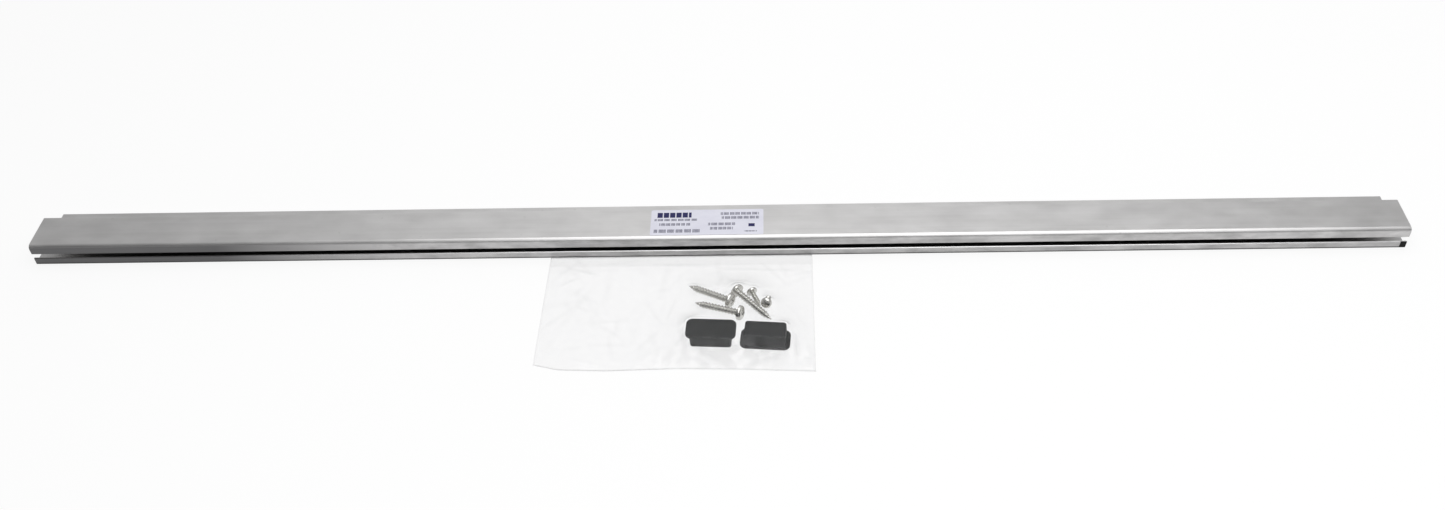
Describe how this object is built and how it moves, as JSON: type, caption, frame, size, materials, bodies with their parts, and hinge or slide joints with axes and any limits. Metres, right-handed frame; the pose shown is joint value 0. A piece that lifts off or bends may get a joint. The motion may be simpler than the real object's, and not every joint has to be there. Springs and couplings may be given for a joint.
{
  "type": "strip curtain header rail with fixings bag",
  "caption": "Slotted channel rail with a wall flange, for hanging a strip curtain, and a clear bag in front of it with its end caps and screws.",
  "frame": {"origin": "centre of the rail's wall face, which is its underside as it lies", "axes": "+X along the rail, +Z out of the wall face, -Y the way the strips hang from the slot"},
  "size_m": [1.2192, 0.204, 0.0223],
  "materials": {
    "aluminium": "mill finish, fine lines along the extrusion",
    "label": "satin white adhesive label",
    "film": "clear thin film, softly wrinkled",
    "cap_plastic": "black moulded plastic, satin",
    "screw_steel": "bright zinc plate"
  },
  "bodies": {
    "rail": {"header_rail": "aluminium", "rail_label": "label"},
    "fixings_pack": {"bag_lower_film": "film", "bag_upper_film": "film", "end_cap_1": "cap_plastic", "end_cap_2": "cap_plastic", "long_screw_1": "screw_steel", "long_screw_2": "screw_steel", "long_screw_3": "screw_steel", "short_screw_1": "screw_steel", "short_screw_2": "screw_steel"}
  },
  "joints": [
    {"name": "pack_slide", "type": "slide", "parent": "rail", "child": "fixings_pack", "axis": [0, -1, 0], "range_m": [0, 0.25]}
  ]
}
